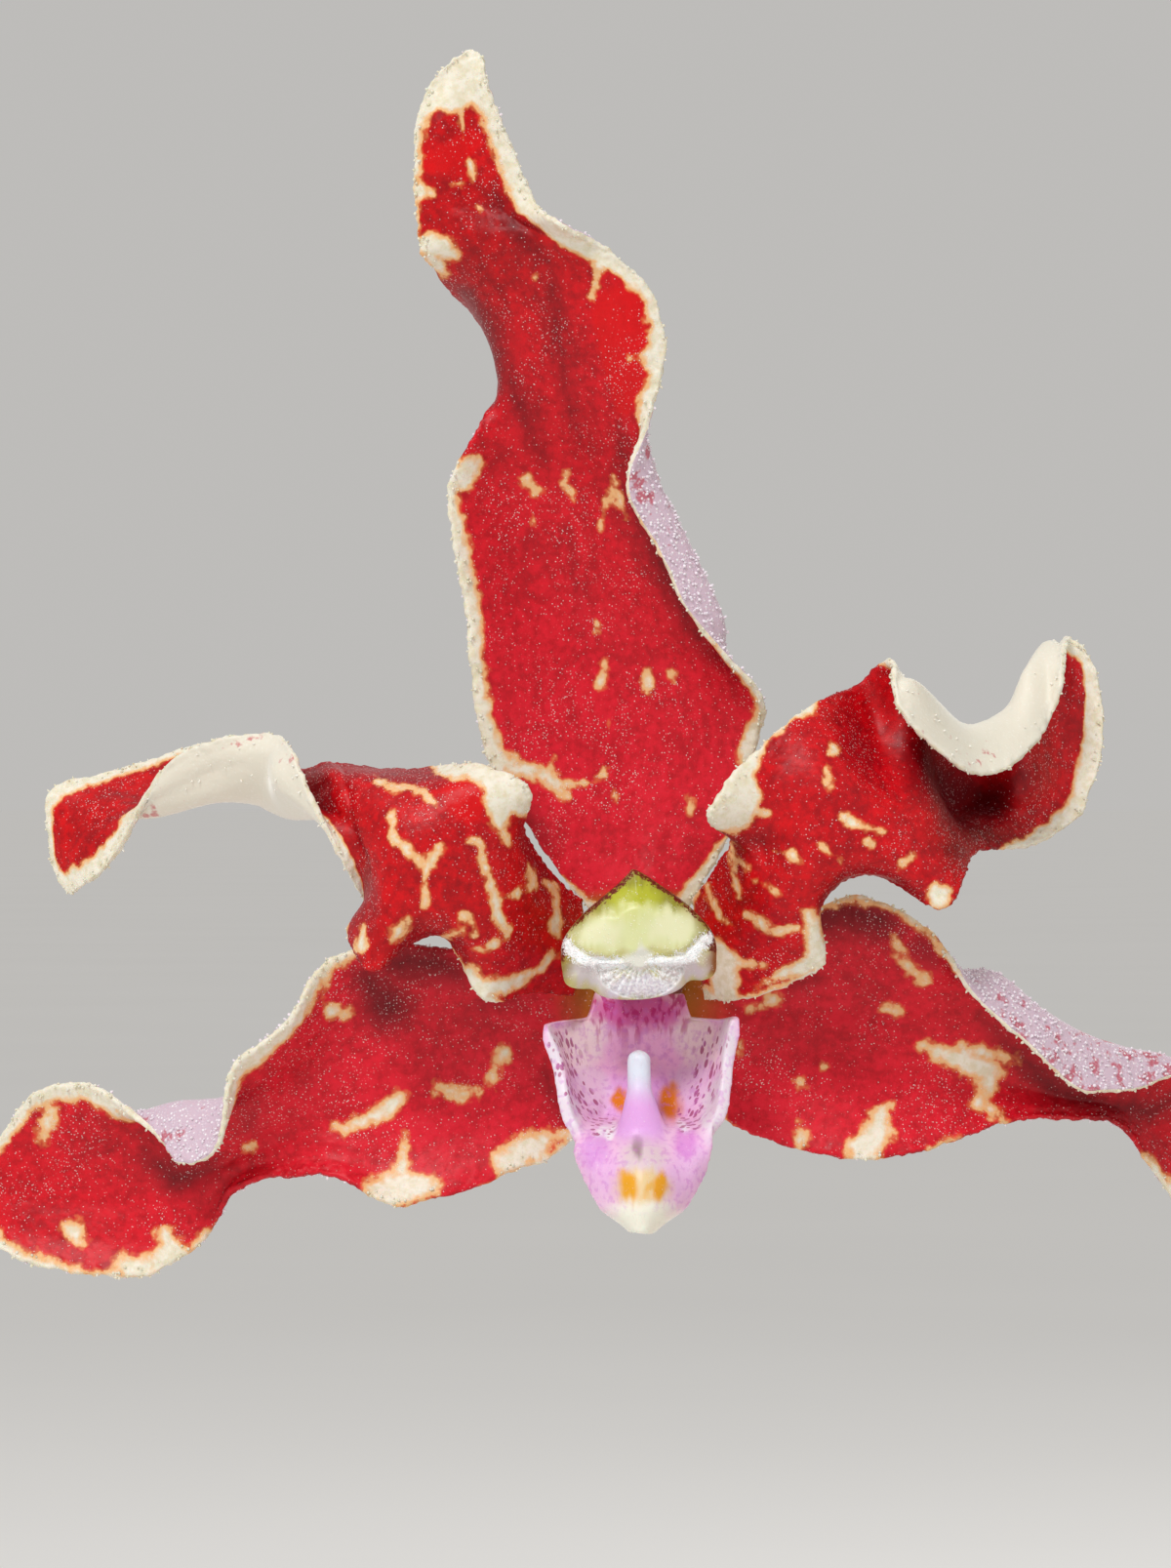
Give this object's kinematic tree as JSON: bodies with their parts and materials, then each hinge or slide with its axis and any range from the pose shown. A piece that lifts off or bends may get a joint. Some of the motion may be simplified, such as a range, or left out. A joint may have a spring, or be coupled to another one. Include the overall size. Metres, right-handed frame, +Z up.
{
  "type": "potted orchid",
  "caption": "Strap-leaved orchid in bark in a clay pot, with aerial roots and a hanging spike of large red and cream blooms, small yellow blooms and buds.",
  "frame": {"origin": "centre of the pot's flat underside, which stands on the floor", "axes": "+Z up; -Y towards the viewer of the lead bloom; the hanging spike is on the -X side"},
  "size_m": [0.4196, 0.2073, 0.396],
  "materials": {
    "terracotta": "matt",
    "bark": "rough",
    "stem_sheaths": "satin",
    "aerial_root": "matt",
    "leaf": "satin",
    "spike": "satin",
    "bud": "satin",
    "red_tepal": "satin",
    "yellow_tepal": "satin",
    "lip": "satin",
    "column": "satin",
    "anther_cap": "satin"
  },
  "bodies": {
    "root": {"pot": "terracotta", "bark": "bark", "stem": "stem_sheaths", "bloom_2_column": "anther_cap", "bloom_2_lip": "lip", "bloom_2_tepals": "red_tepal", "bloom_3_column": "anther_cap", "bloom_3_lip": "lip", "bloom_3_tepals": "red_tepal", "bud_1": "bud", "bud_2": "bud", "bud_3": "bud", "lead_anther_cap": "anther_cap", "lead_column": "column", "lead_dorsal_sepal": "red_tepal", "lead_left_petal": "red_tepal", "lead_left_sepal": "red_tepal", "lead_lip": "lip", "lead_right_petal": "red_tepal", "lead_right_sepal": "red_tepal", "leaf_1": "leaf", "leaf_10": "leaf", "leaf_11": "leaf", "leaf_2": "leaf", "leaf_3": "leaf", "leaf_4": "leaf", "leaf_5": "leaf", "leaf_6": "leaf", "leaf_7": "leaf", "leaf_8": "leaf", "leaf_9": "leaf", "root_1": "aerial_root", "root_2": "aerial_root", "root_3": "aerial_root", "root_4": "aerial_root", "root_5": "aerial_root", "spike": "spike", "yellow_bloom_1_column": "anther_cap", "yellow_bloom_1_lip": "lip", "yellow_bloom_1_tepals": "yellow_tepal", "yellow_bloom_2_column": "anther_cap", "yellow_bloom_2_lip": "lip", "yellow_bloom_2_tepals": "yellow_tepal"}
  },
  "joints": []
}
